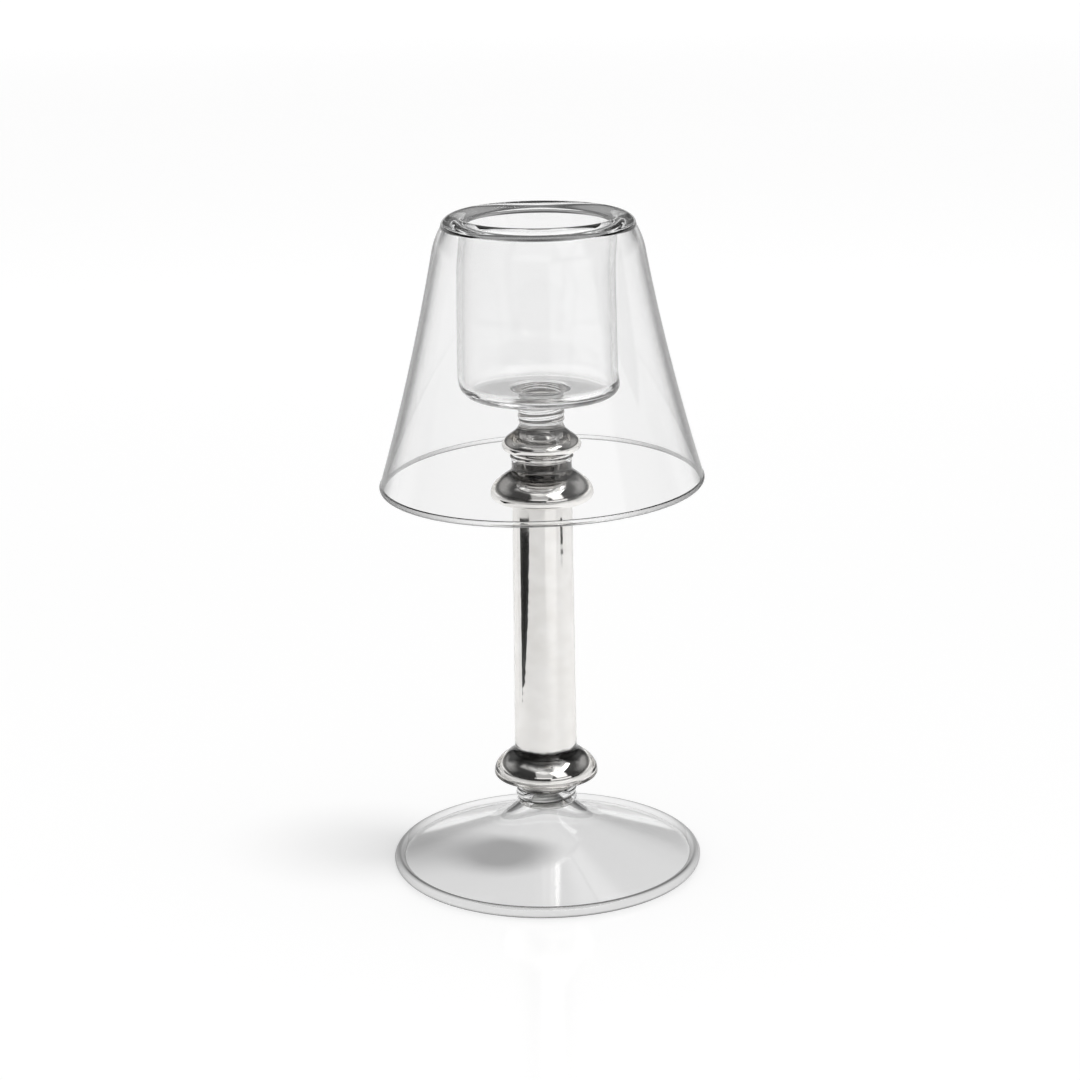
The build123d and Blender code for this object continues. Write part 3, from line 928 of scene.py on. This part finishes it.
lining = turned("silver_lining_film", silver_lining())
lining.data.materials.append(mirror)
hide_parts("silver_lining")
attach(lining, "root")

plug = turned("seal_plug_rubber", seal_plug())
plug.data.materials.append(rubber)
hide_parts("seal_plug")
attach(plug, "root")


# Floor, light and camera

FLOOR_REACH = 8.0  # metres each way
FLOOR_DROP = 0.05 * MM
FLOOR_WHITE = 0.92
FLOOR_ROUGH = 0.13
FLOOR_GLOW = 0.34  # keeps the paper white through glass and in the mirror
CAMERA_GLOW = 0.385  # the same, straight on
BACK_GLOW = (-100.0, 1000.0, 0.14)  # from where to where behind the lamp it grows, and by how much
KEY_STRENGTH = 1.67
KEY_SPREAD = 21.0  # degrees
KEY_FROM = (14.7, -3.0, 30.8)  # the way to the light
FILL = 0.25  # light of the room on plain surfaces
DARK = 0.02  # unlit sides of the studio

# The white table and the studio, as the silver mirrors them
TABLE_FRONT = 540.0  # where the table ends, towards the camera
ROOM_FLOOR = (640.0, 0.6)  # where a pale floor starts beyond it, and how bright that is
SIDE_PATCH = (370.0, -50.0, 45.0)  # a dark patch on the right: from how far out, and between which places
TABLE_NOTCH = (-158.0, 58.0)  # a dark corner that cuts into the table's left side
NOTCH_EDGES = (231.0, 151.0)  # directions of its two edges, in degrees
DARK_REACH = 430.0  # how far from the lamp these two dark places go
TABLE_SOFT = 3.0  # softness of these edges
TABLE_NEAR = (-250.0, 0.15)  # place towards the camera, and how far the paper shines there in the mirror
TABLE_FAR = (200.0, 0.5)
TABLE_SLANT = 0.6  # how much a place to the right counts as further back


def off_table(tree, x, y):
    """How far a place on the floor is off the white table: past its front edge, in the dark patch on the
    right, or in the notch, which is where a place lies on the inner side of both of the notch's edges."""
    soft = TABLE_SOFT * MM
    front = inside_edge(tree, sums(tree, "MULTIPLY", y, -1.0), TABLE_FRONT * MM, soft)
    out, near, far = (edge * MM for edge in SIDE_PATCH)
    patch = sums(tree, "SUBTRACT", inside_edge(tree, y, near, soft), inside_edge(tree, y, far, soft))
    patch = sums(tree, "MULTIPLY", patch, inside_edge(tree, x, out, soft))
    notch = 1.0
    for angle, turn in zip(NOTCH_EDGES, (-90, 90)):
        inwards = (cos(radians(angle + turn)), sin(radians(angle + turn)))
        reach = (TABLE_NOTCH[0] * inwards[0] + TABLE_NOTCH[1] * inwards[1]) * MM
        parts = [sums(tree, "MULTIPLY", place, along) for place, along in zip((x, y), inwards)]
        depth = sums(tree, "ADD", *parts)
        notch = sums(tree, "MULTIPLY", notch, inside_edge(tree, depth, reach, soft))
    past = inside_edge(tree, from_axis(tree, x, y), DARK_REACH * MM, soft)
    near = sums(tree, "SUBTRACT", 1.0, past)
    places = sums(tree, "MULTIPLY", sums(tree, "MAXIMUM", notch, patch), near)
    return sums(tree, "MAXIMUM", places, front)


def floor():
    """A plain white sheet of paper, a little glossy, that stays white through glass. In the mirror it is a
    table that shines more towards the back and ends in the dark."""
    mesh = bpy.data.meshes.new("floor")
    far, z = FLOOR_REACH, -FLOOR_DROP
    mesh.from_pydata([(-far, -far, z), (far, -far, z), (far, far, z), (-far, far, z)], [], [(0, 1, 2, 3)])
    material, tree, out = new_material("white_paper")
    path = node(tree, "ShaderNodeLightPath").outputs
    place = node(tree, "ShaderNodeTexCoord").outputs["Object"]
    part = node(tree, "ShaderNodeSeparateXYZ", {"Vector": place}).outputs
    x, y = part["X"], part["Y"]
    in_mirror = sums(tree, "MINIMUM", path["Glossy Depth"], 1.0)
    slanted = sums(tree, "ADD", y, sums(tree, "MULTIPLY", x, TABLE_SLANT))
    (near, dim), (back, bright) = TABLE_NEAR, TABLE_FAR
    shine = smooth_step(tree, slanted, near * MM, back * MM, dim, bright)
    seen = sums(tree, "MULTIPLY", path["Is Camera Ray"], CAMERA_GLOW)
    seen_through = sums(tree, "MULTIPLY", path["Is Transmission Ray"], FLOOR_GLOW)
    start, full, growth = BACK_GLOW
    behind = smooth_step(tree, y, start * MM, full * MM, 0.0, growth)
    straight_on = sums(tree, "ADD", sums(tree, "ADD", seen, seen_through), behind)
    mirrored = sums(tree, "MULTIPLY", shine, FLOOR_GLOW)
    glow = either(tree, in_mirror, mirrored, straight_on)
    paper = node(
        tree,
        "ShaderNodeBsdfPrincipled",
        {"Emission Strength": glow},
        Base_Color=(FLOOR_WHITE, FLOOR_WHITE, FLOOR_WHITE, 1),
        Emission_Color=(1, 1, 1, 1),
        Roughness=FLOOR_ROUGH,
    )
    beyond = inside_edge(tree, sums(tree, "MULTIPLY", y, -1.0), ROOM_FLOOR[0] * MM, TABLE_SOFT * MM)
    unlit = sums(tree, "MAXIMUM", sums(tree, "MULTIPLY", beyond, ROOM_FLOOR[1]), DARK)
    dark = node(tree, "ShaderNodeEmission", {"Strength": unlit}, Color=(1, 1, 1, 1))
    ended = sums(tree, "MULTIPLY", off_table(tree, x, y), in_mirror)
    mixed = node(tree, "ShaderNodeMixShader", {0: ended, 1: paper.outputs[0], 2: dark.outputs[0]})
    tree.links.new(mixed.outputs[0], out.inputs["Surface"])
    mesh.materials.append(material)
    sheet = bpy.data.objects.new("floor", mesh)
    bpy.context.scene.collection.objects.link(sheet)


def towards(side, rise):
    """A direction in degrees: side from the camera's side of the lamp round to the right, rise over the
    level."""
    side, rise = radians(side), radians(rise)
    return Vector((cos(rise) * sin(side), -cos(rise) * cos(side), sin(rise)))


def window(tree, direction, side, rise, across, up, strength, soft):
    """The light of a rectangular window or softbox in that direction: strength inside it, nought outside,
    with soft edges. Its size is in degrees."""
    ahead = towards(side, rise)
    right = Vector((-ahead.y, ahead.x, 0)).normalized()
    above = right.cross(ahead) * -1

    def along(axis):
        made = node(tree, "ShaderNodeVectorMath", {0: direction}, operation="DOT_PRODUCT")
        made.inputs[1].default_value = axis
        return made.outputs["Value"]

    facing = along(ahead)
    depth = sums(tree, "MAXIMUM", facing, 0.001)
    light = sums(tree, "GREATER_THAN", facing, 0.0)
    for axis, size in ((right, across), (above, up)):
        off = sums(tree, "ABSOLUTE", sums(tree, "DIVIDE", along(axis), depth))
        outside = inside_edge(tree, off, tan(radians(size / 2)), soft)
        light = sums(tree, "MULTIPLY", light, sums(tree, "SUBTRACT", 1.0, outside))
    return sums(tree, "MULTIPLY", light, strength)


# Light of the studio by height, from the level to overhead: share up, grey
BACKDROP = (
    (0.03, 1.0),
    (0.06, 0.20),
    (0.15, 0.08),
    (0.24, 0.32),
    (0.38, 0.36),
    (0.52, 0.08),
    (0.86, 0.05),
    (0.95, 0.4),
    (1.0, 0.5),
)
FRONT = ((0.0, DARK), (0.70, 0.05), (0.85, 0.35), (1.0, 0.5))
THROUGH = ((0.33, 1.0), (0.60, 0.32))  # as seen through glass
BACKDROP_SIDE = (-0.1, 0.5)  # share of the way to the back where the backdrop starts, and is full
WINDOWS = (
    # side, rise, across, up, strength, softness
    (40, 45, 26, 42, 1.2, 0.05),
    (95, 73, 60, 14, 1.1, 0.05),
    (35, 12, 50, 14, 0.9, 0.03),
    (-5, 45, 36, 50, 0.42, 0.03),
    (-3, 70, 36, 8, 0.4, 0.03),
    (-8, 26, 40, 8, 0.6, 0.02),
    (-60, 72, 60, 16, 0.35, 0.08),
    (90, 64, 42, 6, 5.0, 0.02),
)


def studio():
    """A white room straight on, that greys overhead through glass. The mirror shows it as a studio: a dark
    front, a backdrop of dark and grey bands over a white edge, and bright windows."""
    world = bpy.data.worlds.new("studio")
    world.use_nodes = True
    tree = world.node_tree
    tree.nodes.clear()
    out = node(tree, "ShaderNodeOutputWorld")
    direction = node(tree, "ShaderNodeTexCoord").outputs["Generated"]
    part = node(tree, "ShaderNodeSeparateXYZ", {"Vector": direction}).outputs
    rise = sums(tree, "ARCSINE", sums(tree, "MAXIMUM", sums(tree, "MINIMUM", part["Z"], 1.0), -1.0))
    share = sums(tree, "DIVIDE", rise, pi / 2)
    start, full = BACKDROP_SIDE
    behind = node(tree, "ShaderNodeMapRange", {"Value": part["Y"]}, From_Min=start, From_Max=full)
    backdrop, front = (ramp_grey(tree, share, *stops) for stops in (BACKDROP, FRONT))
    room = either(tree, behind.outputs["Result"], backdrop, front)
    for row in WINDOWS:
        room = sums(tree, "ADD", room, window(tree, direction, *row))
    path = node(tree, "ShaderNodeLightPath").outputs
    in_mirror = sums(tree, "MINIMUM", path["Glossy Depth"], 1.0)
    open_light = either(tree, path["Is Transmission Ray"], ramp_grey(tree, share, *THROUGH), FILL)
    open_light = either(tree, path["Is Camera Ray"], 1.0, open_light)
    level = either(tree, in_mirror, room, open_light)
    light = node(tree, "ShaderNodeBackground", {"Strength": level}, Color=(1, 1, 1, 1))
    tree.links.new(light.outputs[0], out.inputs["Surface"])
    bpy.context.scene.world = world


def key_light():
    """A broad soft light from high on the right; mirrors show the windows instead of it."""
    data = bpy.data.lights.new("key", "SUN")
    data.energy = KEY_STRENGTH
    data.angle = radians(KEY_SPREAD)
    lamp = bpy.data.objects.new("key", data)
    lamp.rotation_euler = Vector(KEY_FROM).to_track_quat("Z", "Y").to_euler()
    lamp.visible_glossy = False
    lamp.visible_transmission = False
    bpy.context.scene.collection.objects.link(lamp)


CAMERA_PLACE = (0.0, -809.5, 342.9)
CAMERA_DIP = 16.236  # degrees below the level
CAMERA_ROLL = -0.86  # degrees
CAMERA_AIM = 0.064  # degrees to the left of the lamp's axis
FOCAL_PIXELS, FRAME_PIXELS = 2687.3, 1080
SENSOR = 36.0


def camera():
    """The camera in front of the lamp, above it and tipped down."""
    data = bpy.data.cameras.new("camera")
    data.sensor_width = SENSOR
    data.lens = FOCAL_PIXELS / FRAME_PIXELS * SENSOR
    data.clip_start = 0.01
    view = bpy.data.objects.new("camera", data)
    turn = Matrix.Rotation(radians(CAMERA_AIM), 4, "Z")
    turn = turn @ Matrix.Rotation(radians(90 - CAMERA_DIP), 4, "X")
    turn = turn @ Matrix.Rotation(radians(CAMERA_ROLL), 4, "Z")
    view.matrix_world = Matrix.Translation(Vector(CAMERA_PLACE) * MM) @ turn
    bpy.context.scene.collection.objects.link(view)
    bpy.context.scene.camera = view


floor()
studio()
key_light()
camera()

scene = bpy.context.scene
scene.view_settings.view_transform = "Standard"
scene.cycles.max_bounces = 40
scene.cycles.transmission_bounces = 40
scene.cycles.glossy_bounces = 16
scene.cycles.transparent_max_bounces = 96
scene.cycles.caustics_refractive = False
scene.cycles.caustics_reflective = False
